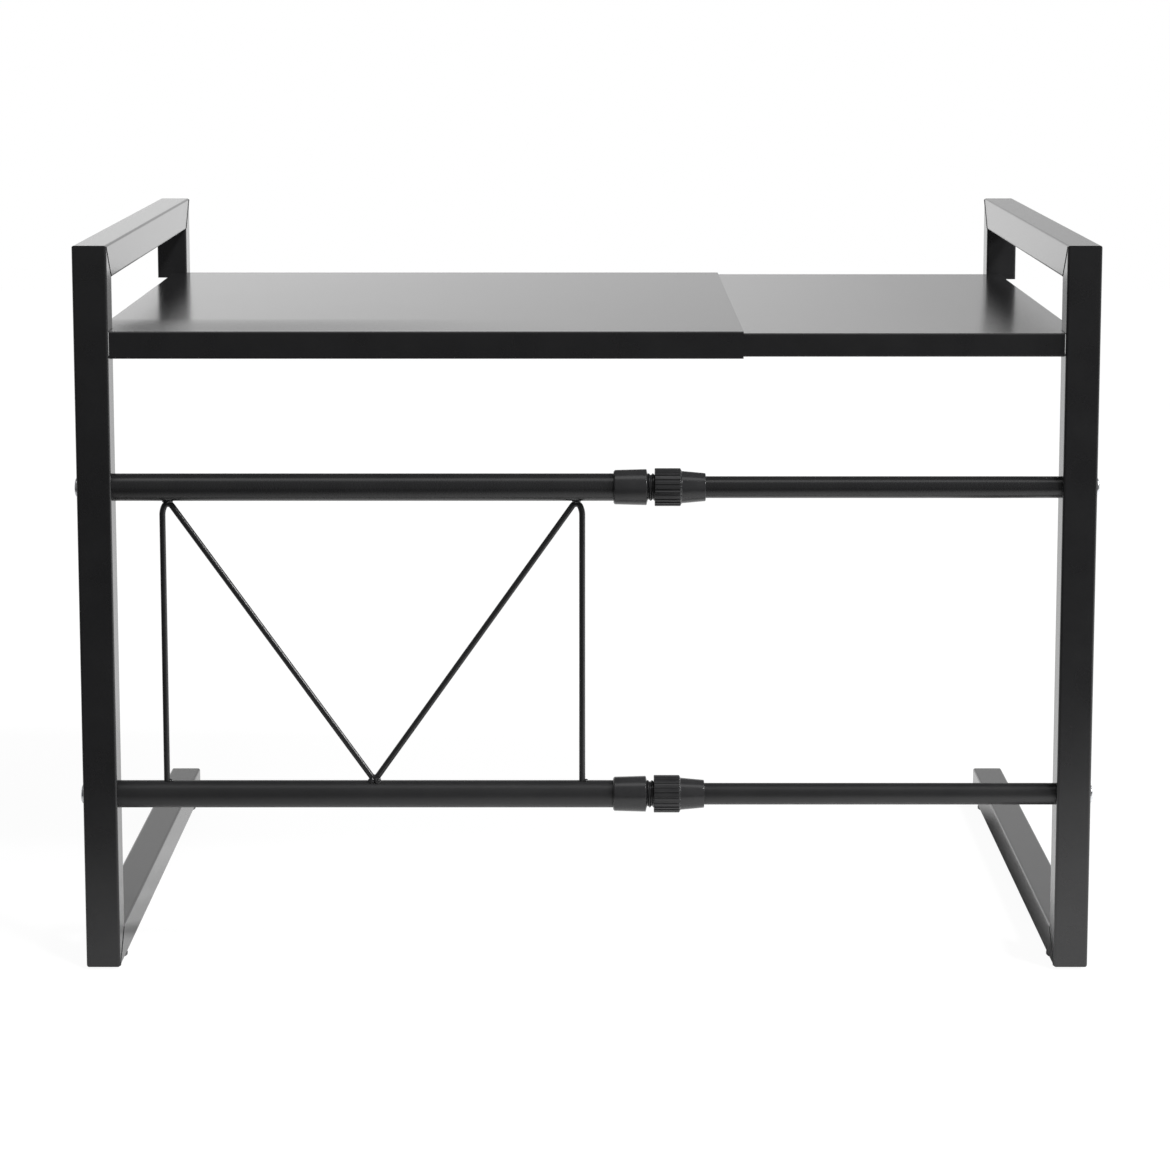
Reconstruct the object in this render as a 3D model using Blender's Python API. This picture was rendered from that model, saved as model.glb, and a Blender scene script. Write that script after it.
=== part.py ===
"""Expandable metal shelf, seen and named as in its photograph, from the back.

Two C-shaped side frames of square tube stand on the floor. A folded steel shelf in two nested panels spans
them, and two telescopic rods with twist locks join the back posts. A bent wire brace is welded between the
rods' outer tubes. The right side slides along X to change the width.

Units are metres and +Z is up. X is the width, Y runs from the back posts (low) to the front (high), and the
origin is on the floor under the middle of the object's box.
"""

import math

import bmesh
import bpy
from mathutils import Vector

# Overall sizes, drawn out as pictured
WIDTH = 0.590  # over the outer faces of the back posts
FRAME_HEIGHT = 0.426  # underside of the foot rail to the top of the top rail
TOP_DEPTH = 0.400  # back of the back post to the front of the front post
FOOT_DEPTH = 0.410  # back of the back post to the front of the foot's cap
SHELF_BELOW_TOP = 0.0495  # top of the frame down to the top of the left panel
FIT = 0.0003  # gap between pieces that seat, slide or are welded

# Square tube of the side frames
TUBE = 0.020
TUBE_WALL = 0.0012
TUBE_CORNER = 0.0015  # outer corner radius
TUBE_INNER_CORNER = 0.0005
POST_DROP = 0.0037  # how far the front post reaches below its panel's top

# Folded shelf panels
SHEET = 0.0008
PANEL_INSET = 0.001  # back flange behind the back posts' back face
PANEL_FLANGE = 0.0158  # height of the left panel's flanges
PANEL_LIP = 0.010  # return lips under the back and front flanges
FOLD_RADIUS = 0.001
LEFT_PANEL_LENGTH = 0.365  # inboard of the back post's inner face
RIGHT_PANEL_LENGTH = 0.341
TAB_REACH = 0.009  # how far the panel's end reaches past the back post's inner face
END_LIP = 0.0085  # return lip under the bearer
BEND_RELIEF = 0.002  # cut-back at the front corner of the end tab

# Bearers under the panels' ends
BEARER_WIDTH = 0.0075
TONGUE_SETBACK = 0.001  # tongue's end behind the front post's front face

# Panel screws, M4, from below
PANEL_SCREW_RADIUS = 0.002
PANEL_SCREW_LENGTH = 0.0095
PANEL_SCREW_HEAD_RADIUS = 0.0038
PANEL_SCREW_HEAD = 0.0024
PANEL_SCREW_INSET = 0.060  # from the back post's back and the front post's front

# Telescopic rods
UPPER_ROD_BELOW_TOP = 0.1412  # top of the frame down to the rod's axis
LOWER_ROD_HEIGHT = 0.1043
OUTER_TUBE_RADIUS = 0.008
INNER_TUBE_RADIUS = 0.00635
ROD_WALL = 0.0008
OUTER_TUBE_LENGTH = 0.3066
INNER_TUBE_LENGTH = 0.340

# Collet sleeve on the outer tube's end
SOCKET_DEPTH = 0.0162
COLLAR_LENGTH = 0.0191
COLLAR_START_RADIUS = 0.01
COLLAR_END_RADIUS = 0.0105
COLLAR_CHAMFER = 0.0008
COLLAR_SHOULDER = 0.0008  # length of the cone from the collar down to the neck
NECK_RADIUS = 0.0078
NECK_SHOWN = 0.0048
NECK_TIP_TAPER = 0.002
NECK_TIP_DROP = 0.0005
COLLET_SLOT_WIDTH = 0.0014
COLLET_SLOT_LENGTH = 0.012

# Ribbed lock nut with its cone
NUT_RADIUS = 0.011
NUT_LENGTH = 0.0157
NUT_CHAMFER = 0.0004
NUT_SHOULDER = 0.0009  # length of the steep step from the ribs down to the cone
NUT_RIB_DEPTH = 0.0006
NUT_RIBS = 24
NUT_RIB_SHARES = (0.06, 0.46, 0.56, 0.96)  # crest start, crest end, groove start, groove end
NUT_BORE_DEPTH = 0.0175
NUT_LEAD_LENGTH = 0.009  # inner cone that squeezes the collet
CONE_LENGTH = 0.0138
CONE_START_RADIUS = 0.0094
CONE_END_RADIUS = 0.0081
CONE_CHAMFER = 0.0004

# Guide plug in the inner tube's free end
GUIDE_FLANGE = 0.003
GUIDE_STEM = 0.010
GUIDE_HOLE_RADIUS = 0.0025

# Threaded rod plugs and their M6 screws
ROD_PLUG_LENGTH = 0.016
ROD_SCREW_RADIUS = 0.003
ROD_SCREW_HEAD_RADIUS = 0.0055
ROD_SCREW_HEAD = 0.0020
ROD_SCREW_GRIP = 0.012  # thread inside the plug

# Screw heads and tips share these proportions
HEAD_CROWN_SHARES = ((0.45, 1.0), (0.80, 0.78), (1.0, 0.35))  # shares of the head's radius and height
TIP_SHARE = 0.8  # tip's radius as a share of the thread's

# Wire brace
WIRE_RADIUS = 0.0018
WIRE_LEFT_LEG = 0.0282  # left leg from the back post's inner face
WIRE_SPAN = 0.244  # between the legs
WIRE_LEG_BEND = 0.012  # centreline radius of the easy bend at the top of each leg
WIRE_LEG_TURN = math.radians(25)
WIRE_BEND = 0.0026  # centreline radius of its three tight bends
WIRE_LEG_BEND_STEPS = 3
WIRE_BEND_STEPS = 8

# Plastic plugs of the square tubes
PLUG_LENGTH = 0.012
PLUG_WALL = 0.0015
CAP_FLANGE = 0.0015
CAP_CHAMFER = 0.0004

# Glides under the foot rails
GLIDE_HEIGHT = 0.002
GLIDE_RADIUS = 0.01
GLIDE_CHAMFER = 0.0005
GLIDE_STEM_RADIUS = 0.0025
GLIDE_STEM_LENGTH = 0.006
GLIDE_INSET = 0.031  # from either end of the foot

# Facets
CORNER_STEPS = 5
ROUND_STEPS = 28
SMALL_STEPS = 16
FOLD_STEPS = 3
SMOOTH_ANGLE = math.radians(40)
OVERRUN = 0.002  # how far a cutter reaches past what it cuts

# Places worked out from the sizes
OUTER_FACE = WIDTH / 2
INNER_FACE = OUTER_FACE - TUBE
POST_X = OUTER_FACE - TUBE / 2
NUT_PROUD = max(NUT_RADIUS - TUBE / 2, 0.0)
BACK = NUT_PROUD - (FOOT_DEPTH + NUT_PROUD) / 2
POST_Y = BACK + TUBE / 2
FRONT_POST_Y = BACK + TOP_DEPTH - TUBE / 2
FRAME_TOP = GLIDE_HEIGHT + FRAME_HEIGHT
SHELF_HEIGHT = FRAME_TOP - SHELF_BELOW_TOP
UPPER_ROD_HEIGHT = FRAME_TOP - UPPER_ROD_BELOW_TOP
MITRE_GAP = FIT / math.sqrt(2)
NEST = SHEET + FIT  # step from the left panel's surfaces to the right panel's
COLLAR_X = -INNER_FACE + OUTER_TUBE_LENGTH - SOCKET_DEPTH
NUT_X = COLLAR_X + COLLAR_LENGTH + NECK_SHOWN
LEFT, RIGHT = -1, 1
RODS = (("upper", UPPER_ROD_HEIGHT), ("lower", LOWER_ROD_HEIGHT))


def clear_scene():
    for item in list(bpy.data.objects):
        bpy.data.objects.remove(item, do_unlink=True)


def make_material(name, color, roughness, metallic):
    material = bpy.data.materials.new(name)
    material.use_nodes = True
    shader = material.node_tree.nodes["Principled BSDF"]
    shader.inputs["Base Color"].default_value = (*color, 1.0)
    shader.inputs["Roughness"].default_value = roughness
    shader.inputs["Metallic"].default_value = metallic
    return material


def make_body(name, place):
    """An empty that carries the pieces of one rigid body."""
    body = bpy.data.objects.new(name, None)
    body.location = place
    bpy.context.collection.objects.link(body)
    return body


def put(item, body, place):
    """Links an object, places its origin in world coordinates and parents it to its body's empty."""
    bpy.context.collection.objects.link(item)
    item.parent = body
    item.location = Vector(place) - (body.location if body else Vector())
    return item


def solid(name, bm, material, body, place):
    """Turns a bmesh into a placed object with smooth round faces and sharp edges."""
    mesh = bpy.data.meshes.new(name)
    bm.to_mesh(mesh)
    bm.free()
    mesh.materials.append(material)
    mesh.shade_smooth()
    mesh.set_sharp_from_angle(angle=SMOOTH_ANGLE)
    return put(bpy.data.objects.new(name, mesh), body, place)


def skin(bm, rings, loop=False):
    """Joins rings of points with quads. A loop joins the last ring to the first, otherwise both ends are capped."""
    rows = [[bm.verts.new(point) for point in ring] for ring in rings]
    pairs = list(zip(rows, rows[1:]))
    if loop:
        pairs.append((rows[-1], rows[0]))
    faces = []
    for first, second in pairs:
        for i in range(len(first)):
            j = (i + 1) % len(first)
            faces.append(bm.faces.new((first[i], first[j], second[j], second[i])))
    if not loop:
        faces.append(bm.faces.new(rows[0]))
        faces.append(bm.faces.new(rows[-1]))
    bmesh.ops.recalc_face_normals(bm, faces=faces)


def circle_along_x(x, radius, steps=ROUND_STEPS, y=0.0, z=0.0):
    turn = 2 * math.pi / steps
    return [(x, y + radius * math.cos(i * turn), z + radius * math.sin(i * turn)) for i in range(steps)]


def circle_along_z(z, radius, steps=SMALL_STEPS, x=0.0, y=0.0):
    turn = 2 * math.pi / steps
    return [(x + radius * math.cos(i * turn), y + radius * math.sin(i * turn), z) for i in range(steps)]


def rounded_square(half, radius):
    """Outline of a square with rounded corners, as (u, v) pairs."""
    points = []
    for quarter in range(4):
        centre_u = (half - radius) * (1 if quarter in (0, 3) else -1)
        centre_v = (half - radius) * (1 if quarter in (0, 1) else -1)
        for i in range(CORNER_STEPS + 1):
            angle = math.pi / 2 * (quarter + i / CORNER_STEPS)
            points.append((centre_u + radius * math.cos(angle), centre_v + radius * math.sin(angle)))
    return points


def add_cutter(target, bm, place):
    """Cuts a bmesh out of an object with an exact Boolean, whose cutter stays as a hidden wire object."""
    mesh = bpy.data.meshes.new(target.name + "_cut")
    bm.to_mesh(mesh)
    bm.free()
    cutter = put(bpy.data.objects.new(mesh.name, mesh), target.parent, place)
    cutter.hide_render = True
    cutter.display_type = "WIRE"
    cut = target.modifiers.new("cut", "BOOLEAN")
    cut.operation = "DIFFERENCE"
    cut.solver = "EXACT"
    cut.object = cutter


def square_tube(upright, start, end, start_slope=0, end_slope=0):
    """Hollow square tube along Z or Y from start to end on its centreline.

    A slope of 0 cuts an end square. 1 or -1 mitres it: the cut moves along the tube as the place across it,
    in the frame's plane, does.
    """
    wide = rounded_square(TUBE / 2, TUBE_CORNER)
    narrow = rounded_square(TUBE / 2 - TUBE_WALL, TUBE_INNER_CORNER)

    def ring(outline, at, slope):
        if upright:
            return [(u, v, at + slope * v) for u, v in outline]
        return [(u, at + slope * v, v) for u, v in outline]

    bm = bmesh.new()
    rings = [
        ring(wide, start, start_slope),
        ring(wide, end, end_slope),
        ring(narrow, end, end_slope),
        ring(narrow, start, start_slope),
    ]
    skin(bm, rings, loop=True)
    return bm


def back_post(name, side, body, paint):
    """Full-height post, mitred to the foot rail and the top rail, with a through hole for each rod's screw."""
    bm = square_tube(True, TUBE / 2 + MITRE_GAP, FRAME_HEIGHT - TUBE / 2 - MITRE_GAP, 1, -1)
    place = (side * POST_X, POST_Y, GLIDE_HEIGHT)
    post = solid(name, bm, paint, body, place)
    reach = TUBE / 2 + OVERRUN
    hole = ROD_SCREW_RADIUS + FIT
    holes = bmesh.new()
    for level, height in RODS:
        z = height - GLIDE_HEIGHT
        skin(holes, [circle_along_x(x, hole, SMALL_STEPS, z=z) for x in (-reach, reach)])
    add_cutter(post, holes, place)


def top_rail(name, side, body, paint):
    bm = square_tube(False, TUBE / 2 + MITRE_GAP, TOP_DEPTH - TUBE / 2 - MITRE_GAP, -1, 1)
    solid(name, bm, paint, body, (side * POST_X, BACK, FRAME_TOP - TUBE / 2))


def front_post(name, side, body, paint):
    """Short post, mitred under the top rail and cut square just below the shelf's surface."""
    bottom = panel_top(side) - POST_DROP
    bm = square_tube(True, 0.0, FRAME_TOP - bottom - TUBE / 2 - MITRE_GAP, 0, 1)
    solid(name, bm, paint, body, (side * POST_X, FRONT_POST_Y, bottom))


def foot_rail(name, side, body, paint):
    """Foot on the floor, mitred to the back post, open at the front and drilled below for its glides."""
    end = FOOT_DEPTH - CAP_FLANGE - FIT
    bm = square_tube(False, TUBE / 2 + MITRE_GAP, end, 1, 0)
    place = (side * POST_X, BACK, GLIDE_HEIGHT + TUBE / 2)
    foot = solid(name, bm, paint, body, place)
    holes = bmesh.new()
    low = -TUBE / 2 - OVERRUN
    high = TUBE_WALL + OVERRUN - TUBE / 2
    hole = GLIDE_STEM_RADIUS + FIT
    for y in glide_places():
        skin(holes, [circle_along_z(z, hole, y=y) for z in (low, high)])
    add_cutter(foot, holes, place)


def glide_places():
    """Distances of the back and front glide from the back post's back."""
    return GLIDE_INSET, FOOT_DEPTH - GLIDE_INSET


def foot_glide(name, side, along, body, plastic):
    """Turned glide: a chamfered disc with a stem in the foot's hole."""
    top = GLIDE_HEIGHT - FIT
    profile = [
        (0.0, GLIDE_RADIUS - GLIDE_CHAMFER),
        (GLIDE_CHAMFER, GLIDE_RADIUS),
        (top, GLIDE_RADIUS),
        (top, GLIDE_STEM_RADIUS),
        (top + GLIDE_STEM_LENGTH, GLIDE_STEM_RADIUS),
    ]
    bm = bmesh.new()
    skin(bm, [circle_along_z(z, radius) for z, radius in profile])
    solid(name, bm, plastic, body, (side * POST_X, BACK + along, 0.0))


def plug_half():
    """Half the width of a plastic plug inside the square tube."""
    return TUBE / 2 - TUBE_WALL - FIT


def foot_cap(name, side, body, plastic):
    """End cap of the foot rail: a chamfered flange and a hollow plug."""
    plug = plug_half()
    sections = [
        (0.0, TUBE / 2 - CAP_CHAMFER, TUBE_CORNER - CAP_CHAMFER),
        (-CAP_CHAMFER, TUBE / 2, TUBE_CORNER),
        (-CAP_FLANGE, TUBE / 2, TUBE_CORNER),
        (-CAP_FLANGE, plug, TUBE_INNER_CORNER),
        (-CAP_FLANGE - PLUG_LENGTH, plug, TUBE_INNER_CORNER),
        (-CAP_FLANGE - PLUG_LENGTH, plug - PLUG_WALL, TUBE_INNER_CORNER),
        (-CAP_FLANGE, plug - PLUG_WALL, TUBE_INNER_CORNER),
    ]
    bm = bmesh.new()
    skin(bm, [[(u, y, v) for u, v in rounded_square(half, corner)] for y, half, corner in sections])
    solid(name, bm, plastic, body, (side * POST_X, BACK + FOOT_DEPTH, GLIDE_HEIGHT + TUBE / 2))


def post_plug(name, side, body, plastic):
    """Plug flush inside the front post's lower end, hollow above its floor."""
    plug = plug_half()
    sections = [
        (0.0, plug),
        (PLUG_LENGTH, plug),
        (PLUG_LENGTH, plug - PLUG_WALL),
        (PLUG_WALL, plug - PLUG_WALL),
    ]
    bm = bmesh.new()
    skin(bm, [[(u, v, z) for u, v in rounded_square(half, TUBE_INNER_CORNER)] for z, half in sections])
    solid(name, bm, plastic, body, (side * POST_X, FRONT_POST_Y, panel_top(side) - POST_DROP))


def nest_step(side):
    """The right panel lies one sheet and one gap inside the left one, on every side."""
    return NEST if side == RIGHT else 0.0


def panel_top(side):
    return SHELF_HEIGHT - nest_step(side)


def panel_bottom(side):
    return SHELF_HEIGHT - PANEL_FLANGE + nest_step(side)


def inboard(side, distance):
    """World X of a point at a distance inboard of the back post's inner face."""
    return side * (INNER_FACE - distance)


def panel_screw_places():
    return BACK + PANEL_SCREW_INSET, BACK + TOP_DEPTH - PANEL_SCREW_INSET


def bearer_middle():
    """Distance of the bearer's middle from the back post's inner face, negative towards the outside."""
    return SHEET + FIT - TAB_REACH + BEARER_WIDTH / 2


def shelf_panel(name, side, length, body, paint):
    """Folded panel: a top, back and front flanges with return lips, and an end tab that hooks over the bearer."""
    step = nest_step(side)
    back = BACK + PANEL_INSET + step
    front = BACK + TOP_DEPTH - TUBE - FIT - step
    tab_back = BACK + TUBE + FIT
    tab_front = front - BEND_RELIEF
    top = panel_top(side)
    bottom = panel_bottom(side)
    root = inboard(side, FIT)
    free = inboard(side, length)
    end = inboard(side, -TAB_REACH)
    lip_end = inboard(side, END_LIP - TAB_REACH)

    bm = bmesh.new()
    corner = {
        "root_back": bm.verts.new((root, back, top)),
        "free_back": bm.verts.new((free, back, top)),
        "free_front": bm.verts.new((free, front, top)),
        "root_front": bm.verts.new((root, front, top)),
        "tab_root_front": bm.verts.new((root, tab_front, top)),
        "tab_root_back": bm.verts.new((root, tab_back, top)),
        "tab_end_front": bm.verts.new((end, tab_front, top)),
        "tab_end_back": bm.verts.new((end, tab_back, top)),
    }
    main = ("root_back", "free_back", "free_front", "root_front", "tab_root_front", "tab_root_back")
    tab = ("tab_root_back", "tab_root_front", "tab_end_front", "tab_end_back")
    for outline in (main, tab):
        bm.faces.new([corner[key] for key in outline])

    def fold_down(first, second, lip_x=None, lip_y=None):
        """A flange down from a top edge and a lip turned in from its foot."""
        edge = (corner[first], corner[second])
        foot = [bm.verts.new((v.co.x, v.co.y, bottom)) for v in edge]
        lip = [
            bm.verts.new((v.co.x if lip_x is None else lip_x, v.co.y if lip_y is None else lip_y, bottom))
            for v in foot
        ]
        bm.faces.new((edge[0], edge[1], foot[1], foot[0]))
        bm.faces.new((foot[0], foot[1], lip[1], lip[0]))

    fold_down("root_back", "free_back", lip_y=back + PANEL_LIP)
    fold_down("root_front", "free_front", lip_y=front - PANEL_LIP)
    fold_down("tab_end_back", "tab_end_front", lip_x=lip_end)
    bmesh.ops.recalc_face_normals(bm, faces=bm.faces)
    bm.faces.ensure_lookup_table()
    if bm.faces[0].normal.z < 0:
        bmesh.ops.reverse_faces(bm, faces=bm.faces)

    panel = solid(name, bm, paint, body, (0.0, 0.0, 0.0))
    folds = panel.modifiers.new("folds", "BEVEL")
    folds.width = FOLD_RADIUS
    folds.segments = FOLD_STEPS
    folds.limit_method = "ANGLE"
    gauge = panel.modifiers.new("sheet", "SOLIDIFY")
    gauge.thickness = SHEET
    gauge.offset = -1
    gauge.use_even_offset = True
    gauge.use_quality_normals = True

    holes = bmesh.new()
    x = inboard(side, bearer_middle())
    for y in panel_screw_places():
        levels = (bottom - OVERRUN, bottom + SHEET + FIT / 2)
        skin(holes, [circle_along_z(z, PANEL_SCREW_RADIUS + FIT, x=x, y=y) for z in levels])
    add_cutter(panel, holes, (0.0, 0.0, 0.0))


def shelf_bearer(name, side, body, paint):
    """Slim bar under the panel's end, stepped down to a tongue under the front post, drilled for its screws."""
    low = panel_bottom(side) + SHEET + FIT
    high = panel_top(side) - SHEET - FIT
    tongue = panel_top(side) - POST_DROP - FIT
    start = BACK + TUBE + FIT
    shoulder = BACK + TOP_DEPTH - TUBE - FIT
    end = BACK + TOP_DEPTH - TONGUE_SETBACK
    outline = [(start, low), (end, low), (end, tongue), (shoulder, tongue), (shoulder, high), (start, high)]
    place = (inboard(side, bearer_middle()), 0.0, 0.0)
    half = BEARER_WIDTH / 2
    bm = bmesh.new()
    skin(bm, [[(x, y, z) for y, z in outline] for x in (-half, half)])
    bearer = solid(name, bm, paint, body, place)

    holes = bmesh.new()
    for y in panel_screw_places():
        levels = (low - OVERRUN, high + OVERRUN)
        skin(holes, [circle_along_z(z, PANEL_SCREW_RADIUS + FIT, y=y) for z in levels])
    add_cutter(bearer, holes, place)


def screw_profile(head_radius, head_height, thread_radius, length):
    """(place along the axis, radius) from the crown of the head, at minus its height, to the tip."""
    crown = [(-head_height * rise, head_radius * reach) for reach, rise in HEAD_CROWN_SHARES]
    chamfer = thread_radius * (1 - TIP_SHARE)
    return crown + [
        (0.0, head_radius),
        (0.0, thread_radius),
        (length - chamfer, thread_radius),
        (length, thread_radius * TIP_SHARE),
    ]


def panel_screw(name, side, y, body, zinc):
    """Pan-head screw from below, through the end lip into the bearer."""
    profile = screw_profile(PANEL_SCREW_HEAD_RADIUS, PANEL_SCREW_HEAD, PANEL_SCREW_RADIUS, PANEL_SCREW_LENGTH)
    bm = bmesh.new()
    skin(bm, [circle_along_z(z, radius) for z, radius in profile])
    solid(name, bm, zinc, body, (inboard(side, bearer_middle()), y, panel_bottom(side) - FIT))


def rod_screw(name, side, height, body, zinc):
    """Pan-head screw from outside, through the back post into the rod's plug."""
    length = FIT + TUBE + FIT + ROD_SCREW_GRIP
    profile = screw_profile(ROD_SCREW_HEAD_RADIUS, ROD_SCREW_HEAD, ROD_SCREW_RADIUS, length)
    bm = bmesh.new()
    skin(bm, [circle_along_x(-side * t, radius, SMALL_STEPS) for t, radius in profile])
    solid(name, bm, zinc, body, (side * (OUTER_FACE + FIT), POST_Y, height))


def rod_plug(name, side, tube_radius, height, body, plastic):
    """Threaded plug inside the rod's end at the post."""
    outer = tube_radius - ROD_WALL - FIT
    hole = ROD_SCREW_RADIUS + FIT
    profile = [(0.0, hole), (0.0, outer), (ROD_PLUG_LENGTH, outer), (ROD_PLUG_LENGTH, hole)]
    bm = bmesh.new()
    skin(bm, [circle_along_x(-side * t, radius, SMALL_STEPS) for t, radius in profile], loop=True)
    solid(name, bm, plastic, body, (inboard(side, FIT), POST_Y, height))


def rod_tube(name, side, radius, length, height, body, paint):
    """Round tube from its post's inner face inboard, open at both ends."""
    bore = radius - ROD_WALL
    profile = [(0.0, bore), (0.0, radius), (length - FIT, radius), (length - FIT, bore)]
    bm = bmesh.new()
    skin(bm, [circle_along_x(-side * t, r) for t, r in profile], loop=True)
    solid(name, bm, paint, body, (inboard(side, FIT), POST_Y, height))


def collet_sleeve(name, height, body, plastic):
    """Collar pushed over the outer tube's end, with a threaded neck whose slotted end grips the inner tube."""
    socket = OUTER_TUBE_RADIUS + FIT
    bore = INNER_TUBE_RADIUS + FIT
    floor = SOCKET_DEPTH + FIT
    tip = COLLAR_LENGTH + NECK_SHOWN + NUT_BORE_DEPTH - FIT
    profile = [
        (0.0, socket),
        (0.0, COLLAR_START_RADIUS - COLLAR_CHAMFER),
        (COLLAR_CHAMFER, COLLAR_START_RADIUS),
        (COLLAR_LENGTH, COLLAR_END_RADIUS),
        (COLLAR_LENGTH + COLLAR_SHOULDER, NECK_RADIUS),
        (tip - NECK_TIP_TAPER, NECK_RADIUS),
        (tip, NECK_RADIUS - NECK_TIP_DROP),
        (tip, bore),
        (floor, bore),
        (floor, socket),
    ]
    place = (COLLAR_X, POST_Y, height)
    bm = bmesh.new()
    skin(bm, [circle_along_x(x, radius) for x, radius in profile], loop=True)
    sleeve = solid(name, bm, plastic, body, place)

    slots = bmesh.new()
    half = COLLET_SLOT_WIDTH / 2
    reach = NECK_RADIUS + OVERRUN
    ends = (tip - COLLET_SLOT_LENGTH, tip + OVERRUN)
    plus = [
        (half, half), (half, reach), (-half, reach), (-half, half), (-reach, half), (-reach, -half),
        (-half, -half), (-half, -reach), (half, -reach), (half, -half), (reach, -half), (reach, half),
    ]
    skin(slots, [[(x, y, z) for y, z in plus] for x in ends])
    add_cutter(sleeve, slots, place)


def ribbed_ring(x, radius, rib_depth=0.0):
    """Ring whose radius drops by the rib depth in each groove; with no depth it is a circle of as many points."""
    points = []
    for rib in range(NUT_RIBS):
        for k, share in enumerate(NUT_RIB_SHARES):
            angle = 2 * math.pi * (rib + share) / NUT_RIBS
            r = radius if k < 2 else radius - rib_depth
            points.append((x, r * math.cos(angle), r * math.sin(angle)))
    return points


def lock_nut(name, height, body, plastic):
    """Ribbed ring and cone in one piece, with a bore over the neck and an inner cone that squeezes the collet."""
    groove = NUT_RADIUS - NUT_RIB_DEPTH
    face = groove - NUT_CHAMFER
    bore = NECK_RADIUS + FIT
    throat = INNER_TUBE_RADIUS + FIT
    end = NUT_LENGTH + CONE_LENGTH
    rings = [
        ribbed_ring(0.0, bore),
        ribbed_ring(0.0, face),
        ribbed_ring(NUT_CHAMFER, NUT_RADIUS, NUT_RIB_DEPTH),
        ribbed_ring(NUT_LENGTH - NUT_SHOULDER, NUT_RADIUS, NUT_RIB_DEPTH),
        ribbed_ring(NUT_LENGTH, CONE_START_RADIUS),
        ribbed_ring(end - CONE_CHAMFER, CONE_END_RADIUS),
        ribbed_ring(end, CONE_END_RADIUS - CONE_CHAMFER),
        ribbed_ring(end, throat),
        ribbed_ring(NUT_BORE_DEPTH + NUT_LEAD_LENGTH, throat),
        ribbed_ring(NUT_BORE_DEPTH, bore),
    ]
    bm = bmesh.new()
    skin(bm, rings, loop=True)
    solid(name, bm, plastic, body, (NUT_X, POST_Y, height))


def guide_plug(name, height, body, plastic):
    """Plug in the inner tube's free end, whose flange centres it in the outer tube."""
    stem = INNER_TUBE_RADIUS - ROD_WALL - FIT
    flange = OUTER_TUBE_RADIUS - ROD_WALL - FIT
    profile = [
        (-GUIDE_FLANGE - FIT, GUIDE_HOLE_RADIUS),
        (-GUIDE_FLANGE - FIT, flange),
        (-FIT, flange),
        (-FIT, stem),
        (GUIDE_STEM, stem),
        (GUIDE_STEM, GUIDE_HOLE_RADIUS),
    ]
    bm = bmesh.new()
    skin(bm, [circle_along_x(x, radius) for x, radius in profile], loop=True)
    solid(name, bm, plastic, body, (inboard(RIGHT, INNER_TUBE_LENGTH), POST_Y, height))


def wire_route():
    """Centreline of the M-shaped wire in its plane, as (x from the left leg, height) points.

    Each leg leans inboard in an easy bend and turns over in a tight one, then runs straight to the valley.
    """
    low = LOWER_ROD_HEIGHT + OUTER_TUBE_RADIUS + FIT
    high = UPPER_ROD_HEIGHT - OUTER_TUBE_RADIUS - FIT - WIRE_RADIUS
    reach = WIRE_LEG_BEND - WIRE_BEND  # from the easy bend's centre to the tight bend's
    peak = (WIRE_LEG_BEND - reach * math.cos(WIRE_LEG_TURN), high - WIRE_BEND)
    shoulder = (WIRE_LEG_BEND, peak[1] - reach * math.sin(WIRE_LEG_TURN))
    valley = (WIRE_SPAN / 2, low + WIRE_RADIUS + WIRE_BEND)
    across = math.hypot(valley[0] - peak[0], valley[1] - peak[1])
    fall = math.atan2(peak[1] - valley[1], valley[0] - peak[0])
    lean = math.asin(2 * WIRE_BEND / across)
    normal = math.pi / 2 - fall - lean  # direction from the peak's centre to where the straight run leaves it

    def bend(centre, radius, steps, start, end):
        turns = [start + (end - start) * i / steps for i in range(steps + 1)]
        return [(centre[0] + radius * math.cos(a), centre[1] + radius * math.sin(a)) for a in turns]

    leg = bend(shoulder, WIRE_LEG_BEND, WIRE_LEG_BEND_STEPS, math.pi, math.pi - WIRE_LEG_TURN)
    top = bend(peak, WIRE_BEND, WIRE_BEND_STEPS, math.pi - WIRE_LEG_TURN, normal)
    bottom = bend(valley, WIRE_BEND, WIRE_BEND_STEPS, normal + math.pi, 3 * math.pi / 2)
    half = [(0.0, low)] + leg + top[1:] + bottom
    return half + [(WIRE_SPAN - x, z) for x, z in reversed(half[:-1])]


def wire_brace(name, body, paint):
    """One wire bent to an M between the two outer tubes: two upright legs, two bends above and one below."""
    curve = bpy.data.curves.new(name, "CURVE")
    curve.dimensions = "3D"
    curve.bevel_depth = WIRE_RADIUS
    curve.bevel_resolution = 2
    curve.use_fill_caps = True
    route = wire_route()
    spline = curve.splines.new("POLY")
    spline.points.add(len(route) - 1)
    for point, (x, z) in zip(spline.points, route):
        point.co = (x, 0.0, z, 1.0)
    curve.materials.append(paint)
    put(bpy.data.objects.new(name, curve), body, (WIRE_LEFT_LEG - INNER_FACE, POST_Y, 0.0))


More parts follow.
